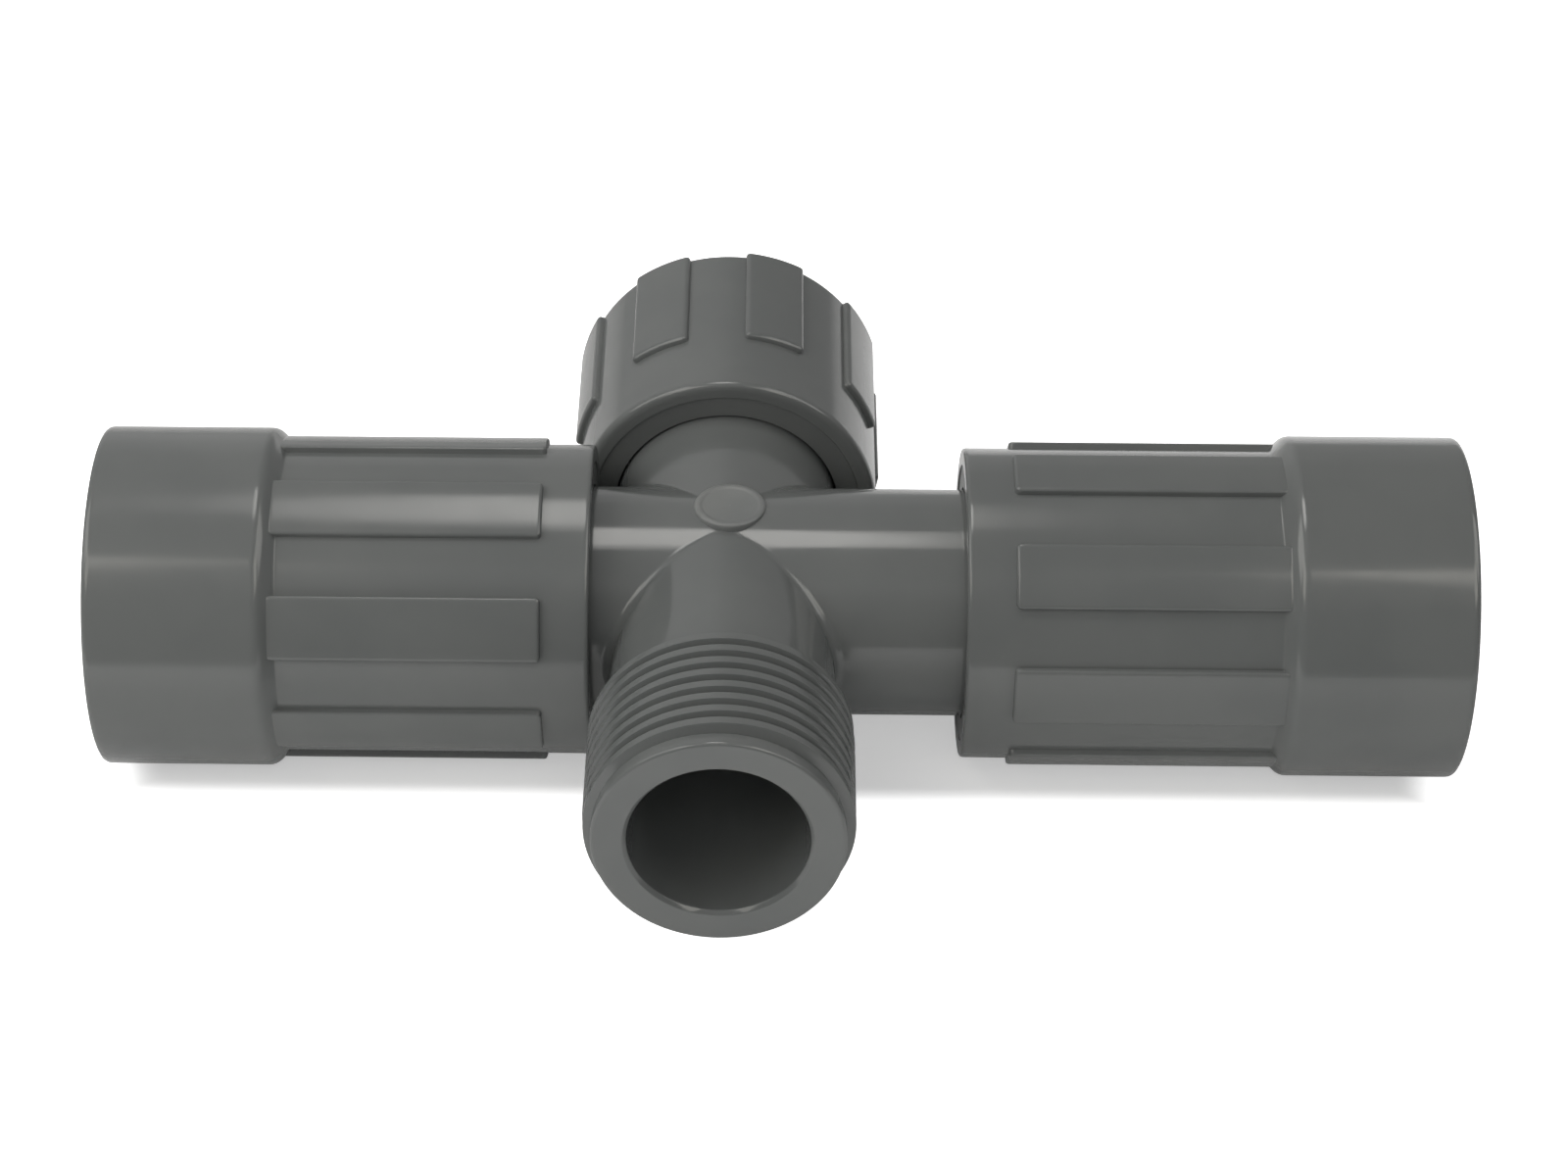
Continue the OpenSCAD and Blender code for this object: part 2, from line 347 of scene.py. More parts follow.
# Mesh helpers. Points are given in millimetres and stored in metres.
UP = np.array([0.0, 0.0, 1.0])
RIGHT_ARM = (np.array([1.0, 0, 0]), np.array([0.0, -1, 0]))
LEFT_ARM = (np.array([-1.0, 0, 0]), np.array([0.0, -1, 0]))
BACK_ARM = (np.array([0.0, 1, 0]), np.array([1.0, 0, 0]))
FRONT_ARM = (np.array([0.0, -1, 0]), np.array([1.0, 0, 0]))


def on_arm(arm, s, r, turn):
    """Points at distance s along an arm, radius r, turned from the top towards the arm's side direction."""
    axis, side = arm
    s, r, turn = np.broadcast_arrays(s, r, turn)
    return s[..., None] * axis + (r * np.cos(turn))[..., None] * UP + (r * np.sin(turn))[..., None] * side


def show_mesh(name, mesh, material, sharp):
    """Shades a mesh smoothly between its sharp edges and puts it into the scene."""
    mesh.polygons.foreach_set("use_smooth", [True] * len(mesh.polygons))
    mesh.set_sharp_from_angle(angle=math.radians(sharp))
    if not mesh.materials:
        mesh.materials.append(material)
    piece = bpy.data.objects.new(name, mesh)
    bpy.context.scene.collection.objects.link(piece)
    return piece


def finish_mesh(name, points, faces, material, sharp=SHARP_ANGLE):
    mesh = bpy.data.meshes.new(name)
    mesh.from_pydata((np.asarray(points) * MM).tolist(), [], faces)
    work = bmesh.new()
    work.from_mesh(mesh)
    bmesh.ops.remove_doubles(work, verts=work.verts, dist=2e-6)
    bmesh.ops.dissolve_degenerate(work, edges=work.edges, dist=1e-6)
    bmesh.ops.recalc_face_normals(work, faces=work.faces)
    work.to_mesh(mesh)
    work.free()
    return show_mesh(name, mesh, material, sharp)


def soften(profile):
    """Rounds the corners of a closed outline given as (s, r, rounding)."""
    done = []
    count = len(profile)
    for i, (s, r, rounding) in enumerate(profile):
        here = np.array([s, r])
        if rounding <= 0:
            done.append(here)
            continue
        before = np.array(profile[i - 1][:2]) - here
        after = np.array(profile[(i + 1) % count][:2]) - here
        run_in, run_out = np.linalg.norm(before), np.linalg.norm(after)
        before, after = before / run_in, after / run_out
        half = math.acos(float(np.clip(before @ after, -1, 1))) / 2
        cut = min(rounding / math.tan(half), 0.45 * run_in, 0.45 * run_out)
        a, b = here + before * cut, here + after * cut
        for k in range(ROUND_STEPS + 1):
            t = k / ROUND_STEPS
            done.append((1 - t) ** 2 * a + 2 * t * (1 - t) * here + t * t * b)
    return done


def brace(outline, closed):
    """Adds points beside the corners, so that a long straight wall mirrors the lamps straight."""
    done = []
    for i, here in enumerate(outline):
        done.append(here)
        if i == len(outline) - 1 and not closed:
            break
        after = outline[(i + 1) % len(outline)]
        span = after - here
        length = np.linalg.norm(span)
        if length > 4 * BRACE_REACH:
            done += [here + span * BRACE_REACH / length, after - span * BRACE_REACH / length]
    return done


def grid_faces(rows, columns, closed_rows):
    faces = []
    for i in range(rows if closed_rows else rows - 1):
        a, b = i * columns, ((i + 1) % rows) * columns
        for j in range(columns):
            k = (j + 1) % columns
            faces.append((a + j, a + k, b + k, b + j))
    return faces


def lathe(name, arm, offset, profile, material):
    """A closed revolved shell round an arm's axis."""
    outline = brace(soften(profile), True)
    turns = np.arange(LATHE_SIDES) * 2 * math.pi / LATHE_SIDES
    points = np.concatenate([on_arm(arm, offset + s, r, turns) for s, r in outline])
    return finish_mesh(name, points, grid_faces(len(outline), LATHE_SIDES, True), material)


# Cross body: four tubes run into each other with small root fillets.
def run_gap(p):
    return np.hypot(p[..., 1], p[..., 2]) - TUBE_R


def branch_gap(p):
    across = np.hypot(p[..., 0], p[..., 2])
    slope = (NECK_END_R - NECK_ROOT_R) / NECK_LEN
    neck = NECK_ROOT_R + slope * np.maximum(-p[..., 1], 0)
    return np.where(p[..., 1] >= 0, across - TUBE_R, (across - neck) / math.hypot(1, slope))


def body_gap(p):
    """Distance to the outside of the joined tubes, with a fillet that fades where they run level."""
    a, b = run_gap(p), branch_gap(p)
    run_out = p * np.array([0, 1, 1.0])
    branch_out = p * np.array([1.0, 0, 1])
    level = (run_out * branch_out).sum(-1)
    level = level / (np.linalg.norm(run_out, axis=-1) * np.linalg.norm(branch_out, axis=-1) + 1e-9)
    k = ROOT_FILLET * np.clip(1 - level, 0, 1) + 1e-6
    corner = np.hypot(np.maximum(k - a, 0), np.maximum(k - b, 0))
    return np.maximum(k, np.minimum(a, b)) - corner


def cast(place_at, low, high, shape):
    """Distance along each ray at which it leaves the body."""
    a, b = np.full(shape, low), np.full(shape, high)
    for _ in range(HALVINGS):
        mid = (a + b) / 2
        inside = body_gap(place_at(mid)) < 0
        a, b = np.where(inside, mid, a), np.where(inside, b, mid)
    return (a + b) / 2


def shared_edge(first, second, angles):
    """The seam between two neighbouring arms, halfway between them."""
    out = (first[0] + second[0]) / math.sqrt(2)
    high, far = np.cos(angles), np.sin(angles)
    reach = cast(lambda d: (d * high)[:, None] * UP + (d * far)[:, None] * out, 10.0, 34.0, angles.shape)
    return reach * high, reach * far / math.sqrt(2)


def arm_rows(arm, sides, join_at, profile):
    """Rows of points from the seams with the next arms, over the outside and back in through the bore."""
    angles = np.linspace(0, math.pi, HALF_ARM_SIDES + 1)
    turns, starts = [], []
    for sign, neighbour in zip((1, -1), sides):
        height, along = shared_edge(arm, neighbour, angles)
        turns.append(sign * np.arctan2(along, height))
        starts.append(along)
    turn = np.concatenate([turns[0], turns[1][-2:0:-1]])
    start = np.concatenate([starts[0], starts[1][-2:0:-1]])
    even = np.concatenate([angles, -angles[-2:0:-1]])
    rows = []
    for i in range(BLEND_ROWS + 1):
        t = i / BLEND_ROWS
        s = start + (join_at - start) * t ** 1.35
        bent = turn + (even - turn) * max(0.0, t * 2 - 1) ** 2
        r = cast(lambda d: on_arm(arm, s, d, bent), 9.0, 26.0, s.shape)
        rows.append(on_arm(arm, s, r, bent))
    for s, r in profile:
        rows.append(on_arm(arm, s, r, even))
    last = BORE_R * np.abs(np.sin(even))
    end = profile[-1][0]
    for i in range(1, END_ROWS + 1):
        rows.append(on_arm(arm, end + (last - end) * (i / END_ROWS), BORE_R, even))
    return rows


def open_outline(profile):
    """Rounds an outline that isn't closed: its first and last points stay."""
    last = len(profile) - 1
    rounded = [(s, r, rounding if 0 < i < last else 0) for i, (s, r, rounding) in enumerate(profile)]
    return brace(soften(rounded), False)


def make_cross():
    """The joined tubes and, 1 mm outside the place where each arm leaves them, the arm's own outline."""
    head = RUN_LEN - HEAD_LEN
    groove = RUN_LEN - HEAD_LEN / 2
    half_w = SEAL_GROOVE_W / 2
    run_outline = open_outline([
        (ARM_JOIN + 1, TUBE_R, 0),
        (head, TUBE_R, 0.25),
        (head, HEAD_R, 0.2),
        (groove - half_w, HEAD_R, 0.12),
        (groove - half_w, SEAL_GROOVE_R, 0.15),
        (groove + half_w, SEAL_GROOVE_R, 0.15),
        (groove + half_w, HEAD_R, 0.12),
        (RUN_LEN, HEAD_R, 0.7),
        (RUN_LEN, BORE_R, 0.3),
        (RUN_LEN - 4, BORE_R, 0),
    ])
    back_outline = open_outline([
        (BACK_JOIN + 1, TUBE_R, 0),
        (BACK_LEN - COLLAR_LEN, TUBE_R, 0.2),
        (BACK_LEN - COLLAR_LEN, HEAD_R, 0.2),
        (BACK_LEN, HEAD_R, 0.7),
        (BACK_LEN, BORE_R, 0.3),
        (BACK_LEN - 4, BORE_R, 0),
    ])
    slope = (NECK_END_R - NECK_ROOT_R) / NECK_LEN
    thread_end = FRONT_LEN - PILOT_LEN
    front_outline = open_outline([
        (ARM_JOIN + 1, NECK_ROOT_R + slope * (ARM_JOIN + 1), 0),
        (NECK_LEN - 0.7, NECK_END_R - slope * 0.7, 0.3),
        (NECK_LEN, THREAD_ROOT_R, 0.3),
        (thread_end - 0.6, THREAD_ROOT_R, 0.2),
        (thread_end - 0.2, PILOT_R, 0.2),
        (FRONT_LEN, PILOT_R, 0.45),
        (FRONT_LEN, BORE_R + MOUTH_CHAMFER, 0.2),
        (FRONT_LEN - MOUTH_CHAMFER, BORE_R, 0.3),
        (FRONT_LEN - 4, BORE_R, 0),
    ])
    points, faces = [], []
    for arm, sides, join_at, outline in (
        (RIGHT_ARM, (FRONT_ARM, BACK_ARM), ARM_JOIN, run_outline),
        (LEFT_ARM, (FRONT_ARM, BACK_ARM), ARM_JOIN, run_outline),
        (BACK_ARM, (RIGHT_ARM, LEFT_ARM), BACK_JOIN, back_outline),
        (FRONT_ARM, (RIGHT_ARM, LEFT_ARM), ARM_JOIN, front_outline),
    ):
        rows = arm_rows(arm, sides, join_at, outline)
        base, columns = sum(len(p) for p in points), len(rows[0])
        points += rows
        faces += [tuple(base + v for v in f) for f in grid_faces(len(rows), columns, False)]
    return finish_mesh("cross_moulding", np.concatenate(points), faces, cross_finish, 40.0)


cross_moulding = make_cross()
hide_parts("cross_body")
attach(cross_moulding, "cross")


def make_boss():
    """The round boss on top, left bare inside its low rim."""
    rings = [
        (BOSS_CORE, BOSS_TOP - 0.14),
        (BOSS_R - 1.15, BOSS_TOP - 0.14),
        (BOSS_R - 0.95, BOSS_TOP - 0.1),
        (BOSS_R - 0.8, BOSS_TOP - 0.01),
        (BOSS_R - 0.6, BOSS_TOP),
        (BOSS_R - 0.32, BOSS_TOP),
        (BOSS_R - 0.12, BOSS_TOP - 0.08),
        (BOSS_R, BOSS_TOP - 0.28),
        (BOSS_R + 0.02, BOSS_TOP - 0.8),
        (BOSS_R + 0.05, BOSS_FOOT),
        (BOSS_CORE, BOSS_FOOT),
    ]
    sides = 96
    turns = np.arange(sides) * 2 * math.pi / sides
    across, along = np.cos(turns), np.sin(turns)
    points = [np.stack([BOSS_X + r * across, BOSS_Y + r * along, np.full(sides, z)], 1) for r, z in rings]
    faces = grid_faces(len(rings), sides, True)
    return finish_mesh("bare_boss", np.concatenate(points), faces, boss_finish, 50.0)


bare_boss = make_boss()
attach(bare_boss, "cross")


# Geometry Nodes trees for what repeats: thread ridges and grip pads.
NUMBER = "NodeSocketFloat"
COUNT = "NodeSocketInt"


def start_tree(name, inputs):
    """A Geometry Nodes tree with a named input for each size or count, and one for the finish."""
    tree = bpy.data.node_groups.new(name, "GeometryNodeTree")
    inputs = [(label, NUMBER if isinstance(value, float) else COUNT, value) for label, value in inputs]
    inputs.append(("Finish", "NodeSocketMaterial", None))
    add_sockets(tree, inputs, [("Geometry", "NodeSocketGeometry")])
    start = tree.nodes.new("NodeGroupInput")
    end = tree.nodes.new("NodeGroupOutput")
    return tree, start.outputs, end.inputs["Geometry"]


def end_tree(tree, geometry, finish, end):
    real = tree.nodes.new("GeometryNodeRealizeInstances")
    paint = tree.nodes.new("GeometryNodeSetMaterial")
    join(tree, geometry, real.inputs["Geometry"])
    join(tree, real.outputs["Geometry"], paint.inputs["Geometry"])
    join(tree, finish, paint.inputs["Material"])
    join(tree, paint.outputs["Geometry"], end)


def block_node(tree, nx, ny, nz):
    """A unit block and its three position fields, from -0.5 to 0.5."""
    block = tree.nodes.new("GeometryNodeMeshCube")
    block.inputs["Size"].default_value = (1, 1, 1)
    for name, count in (("Vertices X", nx), ("Vertices Y", ny), ("Vertices Z", nz)):
        feed(tree, count, block.inputs[name])
    place = tree.nodes.new("GeometryNodeInputPosition")
    split = tree.nodes.new("ShaderNodeSeparateXYZ")
    join(tree, place.outputs[0], split.inputs[0])
    return block.outputs["Mesh"], split.outputs


def bend_round(tree, mesh, radius, turn, along):
    """Moves each point to its radius and turn round the Z axis, at its height along it."""
    put = tree.nodes.new("ShaderNodeCombineXYZ")
    join(tree, maths(tree, "MULTIPLY", radius, maths(tree, "COSINE", turn)), put.inputs[0])
    join(tree, maths(tree, "MULTIPLY", radius, maths(tree, "SINE", turn)), put.inputs[1])
    join(tree, along, put.inputs[2])
    move = tree.nodes.new("GeometryNodeSetPosition")
    join(tree, mesh, move.inputs["Geometry"])
    join(tree, put.outputs[0], move.inputs["Position"])
    return move.outputs["Geometry"]


def thread_tree():
    """A helical ridge that stands on a root radius, inwards or outwards, and fades at both ends."""
    tree, given, end = start_tree("thread_ridge", [
        ("Root radius", 0.01),
        ("Tip radius", 0.011),
        ("Pitch", 0.002),
        ("Turns", 8.0),
        ("Begin", 0.0),
        ("Begin turn", 0.0),
        ("Width", 0.0022),
        ("Flank share", 0.4),
        ("Sunk", 0.0002),
        ("Fade turns", 0.35),
        ("Hand", -1.0),
        ("Steps", 900),
    ])
    mesh, (x, y, z) = block_node(tree, given["Steps"], RIDGE_POINTS, 2)
    t = maths(tree, "ADD", x, 0.5)
    turned = maths(tree, "MULTIPLY", t, given["Turns"])
    left = maths(tree, "SUBTRACT", given["Turns"], turned)
    nearest = maths(tree, "MINIMUM", turned, left)
    fade = maths(tree, "DIVIDE", nearest, given["Fade turns"])
    fade = maths(tree, "MINIMUM", fade, 1.0)
    fade = maths(tree, "SINE", maths(tree, "MULTIPLY", fade, math.pi / 2))
    lift = maths(tree, "ADD", z, 0.5)
    full_height = maths(tree, "SUBTRACT", given["Tip radius"], given["Root radius"])
    height = maths(tree, "MULTIPLY", full_height, fade)
    inwards = maths(tree, "SUBTRACT", 0.5, maths(tree, "ABSOLUTE", y))
    slope = maths(tree, "MINIMUM", maths(tree, "DIVIDE", inwards, given["Flank share"]), 1.0)
    turned_over = maths(tree, "COSINE", maths(tree, "MULTIPLY", slope, math.pi))
    section = maths(tree, "MULTIPLY", maths(tree, "SUBTRACT", 1.0, turned_over), 0.5)
    foot = maths(tree, "SUBTRACT", given["Root radius"], given["Sunk"])
    over_root = maths(tree, "MULTIPLY", section, height)
    rise = maths(tree, "MULTIPLY", maths(tree, "ADD", given["Sunk"], over_root), lift)
    radius = maths(tree, "ADD", foot, rise)
    centre = maths(tree, "ADD", given["Begin"], maths(tree, "MULTIPLY", turned, given["Pitch"]))
    along = maths(tree, "ADD", centre, maths(tree, "MULTIPLY", y, given["Width"]))
    turn = maths(tree, "MULTIPLY", maths(tree, "MULTIPLY", turned, given["Hand"]), 2 * math.pi)
    turn = maths(tree, "ADD", turn, given["Begin turn"])
    end_tree(tree, bend_round(tree, mesh, radius, turn, along), given["Finish"], end)
    return tree


# Width of a pad's steep side, and the thickness that is left at its foot, in metres.
PAD_DRAFT = 0.00008
PAD_FOOT = 0.0002


def pad_tree():
    """Low grip pads with rounded edges, set evenly round a wall."""
    tree, given, end = start_tree("grip_pads", [
        ("Wall radius", 0.02),
        ("Rise", 0.0008),
        ("Half angle", 0.2),
        ("From", 0.006),
        ("To", 0.04),
        ("Corner", 0.0006),
        ("Edge", 0.00035),
        ("Straight share", 0.5),
        ("Sunk", 0.0004),
        ("First turn", 0.0),
        ("Count", 8),
    ])
    mesh, (x, y, z) = block_node(tree, *PAD_GRID)

    def crowd(value, power):
        """Draws the points of one side together near its edges."""
        size = maths(tree, "MULTIPLY", maths(tree, "ABSOLUTE", value), 2.0)
        rest = maths(tree, "POWER", maths(tree, "SUBTRACT", 1.0, size), power)
        part = maths(tree, "SUBTRACT", 1.0, rest)
        return maths(tree, "MULTIPLY", maths(tree, "SIGN", value), part)

    across, lengthwise = crowd(x, 1.8), crowd(y, 2.4)
    half_width = maths(tree, "MULTIPLY", given["Wall radius"], given["Half angle"])
    length = maths(tree, "SUBTRACT", given["To"], given["From"])
    half_length = maths(tree, "MULTIPLY", length, 0.5)
    beyond = []
    for value, half in ((across, half_width), (lengthwise, half_length)):
        inner = maths(tree, "SUBTRACT", half, given["Corner"])
        reach = maths(tree, "MULTIPLY", maths(tree, "ABSOLUTE", value), half)
        beyond.append(maths(tree, "SUBTRACT", reach, inner))
    clipped = [maths(tree, "MAXIMUM", value, 0.0) for value in beyond]
    squares = [maths(tree, "MULTIPLY", value, value) for value in clipped]
    outside = maths(tree, "SQRT", maths(tree, "ADD", squares[0], squares[1]))
    nearer = maths(tree, "MAXIMUM", beyond[0], beyond[1])
    inside = maths(tree, "MINIMUM", nearer, 0.0)
    depth = maths(tree, "SUBTRACT", given["Corner"], maths(tree, "ADD", outside, inside))
    wall = maths(tree, "DIVIDE", depth, PAD_DRAFT)
    wall = maths(tree, "MINIMUM", maths(tree, "MAXIMUM", wall, 0.0), 1.0)
    away = maths(tree, "SUBTRACT", 1.0, maths(tree, "DIVIDE", depth, given["Edge"]))
    away = maths(tree, "MINIMUM", maths(tree, "MAXIMUM", away, 0.0), 1.0)
    away = maths(tree, "MULTIPLY", away, away)
    curve = maths(tree, "SQRT", maths(tree, "SUBTRACT", 1.0, away))
    curved_share = maths(tree, "SUBTRACT", 1.0, given["Straight share"])
    straight = maths(tree, "MULTIPLY", wall, given["Straight share"])
    rounded = maths(tree, "MULTIPLY", curve, curved_share)
    level = maths(tree, "ADD", straight, rounded)
    bottom = maths(tree, "SUBTRACT", given["Wall radius"], given["Sunk"])
    full = maths(tree, "ADD", given["Rise"], given["Sunk"])
    lift = maths(tree, "ADD", z, 0.5)
    over_foot = maths(tree, "MULTIPLY", level, maths(tree, "SUBTRACT", full, PAD_FOOT))
    top = maths(tree, "ADD", PAD_FOOT, over_foot)
    radius = maths(tree, "ADD", bottom, maths(tree, "MULTIPLY", lift, top))
    both_ends = maths(tree, "ADD", given["From"], given["To"])
    middle = maths(tree, "MULTIPLY", both_ends, 0.5)
    along = maths(tree, "ADD", middle, maths(tree, "MULTIPLY", lengthwise, half_length))
    turn = maths(tree, "MULTIPLY", across, given["Half angle"])
    pad = bend_round(tree, mesh, radius, turn, along)
    spots = tree.nodes.new("GeometryNodePoints")
    join(tree, given["Count"], spots.inputs["Count"])
    index = tree.nodes.new("GeometryNodeInputIndex")
    step = maths(tree, "DIVIDE", 2 * math.pi, given["Count"])
    angle = maths(tree, "MULTIPLY", index.outputs[0], step)
    angle = maths(tree, "ADD", angle, given["First turn"])
    spin = tree.nodes.new("ShaderNodeCombineXYZ")
    join(tree, angle, spin.inputs[2])
    copies = tree.nodes.new("GeometryNodeInstanceOnPoints")
    join(tree, spots.outputs[0], copies.inputs["Points"])
    join(tree, pad, copies.inputs["Instance"])
    join(tree, spin.outputs[0], copies.inputs["Rotation"])
    end_tree(tree, copies.outputs["Instances"], given["Finish"], end)
    return tree


THREAD_TREE = thread_tree()
PAD_TREE = pad_tree()


def grow(name, tree, values, arm, material):
    """Runs a tree once and keeps its result as a plain mesh, turned from the Z axis onto an arm."""
    holder = bpy.data.objects.new(name + "_maker", bpy.data.meshes.new(name + "_maker"))
    bpy.context.scene.collection.objects.link(holder)
    modifier = holder.modifiers.new("maker", "NODES")
    modifier.node_group = tree
    names = {item.name: item.identifier for item in tree.interface.items_tree if item.in_out == "INPUT"}
    for key, value in values.items():
        modifier[names[key]] = value
    modifier[names["Finish"]] = material
    bpy.context.view_layer.update()
    seen = holder.evaluated_get(bpy.context.evaluated_depsgraph_get())
    mesh = bpy.data.meshes.new_from_object(seen)
    mesh.name = name
    bpy.data.objects.remove(holder)
    axis, side = arm
    turn = Matrix((Vector(UP), Vector(side), Vector(axis))).transposed().to_4x4()
    mesh.transform(turn)
    work = bmesh.new()
    work.from_mesh(mesh)
    bmesh.ops.remove_doubles(work, verts=work.verts, dist=1e-7)
    bmesh.ops.recalc_face_normals(work, faces=work.faces)
    work.to_mesh(mesh)
    work.free()
    return show_mesh(name, mesh, material, SHARP_ANGLE)


def thread_values(root, tip, begin, turns, first_turn, hand):
    return {
        "Root radius": root * MM,
        "Tip radius": tip * MM,
        "Pitch": PITCH * MM,
        "Turns": turns,
        "Begin": begin * MM,
        "Begin turn": first_turn,
        "Width": THREAD_WIDTH * MM,
        "Flank share": FLANK_SHARE,
        "Sunk": math.copysign(THREAD_SUNK, tip - root) * MM,
        "Fade turns": FADE_TURNS,
        "Hand": hand,
        "Steps": int(STEPS_PER_TURN * turns),
    }


male_ridge = grow(
    "male_thread_ridge", THREAD_TREE,
    thread_values(THREAD_ROOT_R, CREST_R, MALE_BEGIN, MALE_TURNS, math.pi, -1.0),
    FRONT_ARM, cross_finish)
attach(male_ridge, "cross")


# Sleeves and swivel nut.
def inner_end(rounding):
    """Ring groove, lip and plain rim, from the inside out."""
    return [
        (RING_GROOVE[1], CHAMBER_R, 0.1),
        (RING_GROOVE[1], RING_GROOVE_R, 0.1),
        (RING_GROOVE[0], RING_GROOVE_R, 0.1),
        (RING_GROOVE[0], LIP_R, 0.1),
        (0, LIP_R, 0.12),
        (0, WALL_R, rounding),
    ]


def mouth(outer, thread_from, end):
    """Rounded outer edge, lead-in and the smooth root of the female thread."""
    return [
        (end, outer, EDGE),
        (end, FEMALE_R + LEAD_IN, 0.25),
        (end - LEAD_IN, FEMALE_R, 0.15),
        (thread_from, FEMALE_R, 0.1),
    ]


def pad_values(start, end, turn, edge, straight):
    return {
        "Wall radius": WALL_R * MM,
        "Rise": PAD_RISE * MM,
        "Half angle": math.radians(PAD_ANGLE / 2),
        "From": start * MM,
        "To": end * MM,
        "Corner": PAD_CORNER * MM,
        "Edge": edge * MM,
        "Straight share": straight,
        "Sunk": PAD_SUNK * MM,
        "First turn": math.radians(turn),
        "Count": PADS,
    }


def female_ridge(name, arm, end, turns, hand, material):
    """The female thread's ridge, which ends just inside the mouth."""
    begin = end - THREAD_SET_IN - turns * PITCH
    values = thread_values(FEMALE_R, THREAD_ROOT_R, begin, turns, 0.4, hand)
    return grow(name, THREAD_TREE, values, arm, material)


def make_sleeve(side, arm, at, turn, hand, material):
    slope_from = THICK_FROM - (THICK_R - WALL_R)
    collar = [(slope_from, WALL_R, 0.35), (THICK_FROM, THICK_R, 1.9)]
    shoulder = [
        (SLEEVE_THREAD, SHOULDER_R, 0.2),
        (SHOULDER_FROM, SHOULDER_R, 0.2),
        (SHOULDER_FROM, CHAMBER_R, 0.2),
    ]
    outline = inner_end(RIM_EDGE) + collar + mouth(THICK_R, SLEEVE_THREAD, SLEEVE_LEN) + shoulder
    shell = lathe(side + "_sleeve_wall", arm, at, outline, material)
    pads_end = at + THICK_FROM - SLEEVE_PAD_STOP
    values = pad_values(at + SLEEVE_PLAIN, pads_end, turn, SLEEVE_PAD_EDGE, 0.6)
    pads = grow(side + "_sleeve_pads", PAD_TREE, values, arm, material)
    ridge = female_ridge(side + "_sleeve_thread", arm, at + SLEEVE_LEN, SLEEVE_TURNS, hand, material)
    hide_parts("sleeve_" + side)
    for piece in (shell, pads, ridge):
        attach(piece, side + "_sleeve")


make_sleeve("left", LEFT_ARM, LEFT_AT, LEFT_TURN, -1.0, left_finish)
make_sleeve("right", RIGHT_ARM, RIGHT_AT, RIGHT_TURN, 1.0, right_finish)


def make_nut():
    chamber = [(NUT_THREAD, CHAMBER_R, 0.1)]
    outline = inner_end(NUT_RIM_EDGE) + mouth(WALL_R, NUT_THREAD, NUT_LEN) + chamber
    shell = lathe("swivel_nut_wall", BACK_ARM, NUT_AT, outline, nut_finish)
    pads_end = NUT_AT + NUT_LEN - NUT_PAD_STOP
    values = pad_values(NUT_AT + NUT_PLAIN, pads_end, NUT_TURN, NUT_PAD_EDGE, 0.5)
    pads = grow("swivel_nut_pads", PAD_TREE, values, BACK_ARM, nut_finish)
    mouth_at = NUT_AT + NUT_LEN
    ridge = female_ridge("swivel_nut_thread", BACK_ARM, mouth_at, NUT_TURNS, 1.0, nut_finish)
    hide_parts("nut_back")
    for piece in (shell, pads, ridge):
        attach(piece, "back_nut")


make_nut()


# Retaining rings, seals and gasket keep their solids and get their finish.
def dress(node, material):
    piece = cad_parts[node]
    for slot in piece.material_slots:
        slot.material = material


for node in ("ring_left", "ring_right", "ring_back"):
    dress(node, ring_finish)
for node in ("seal_left", "seal_right", "gasket_back"):
    dress(node, rubber_finish)


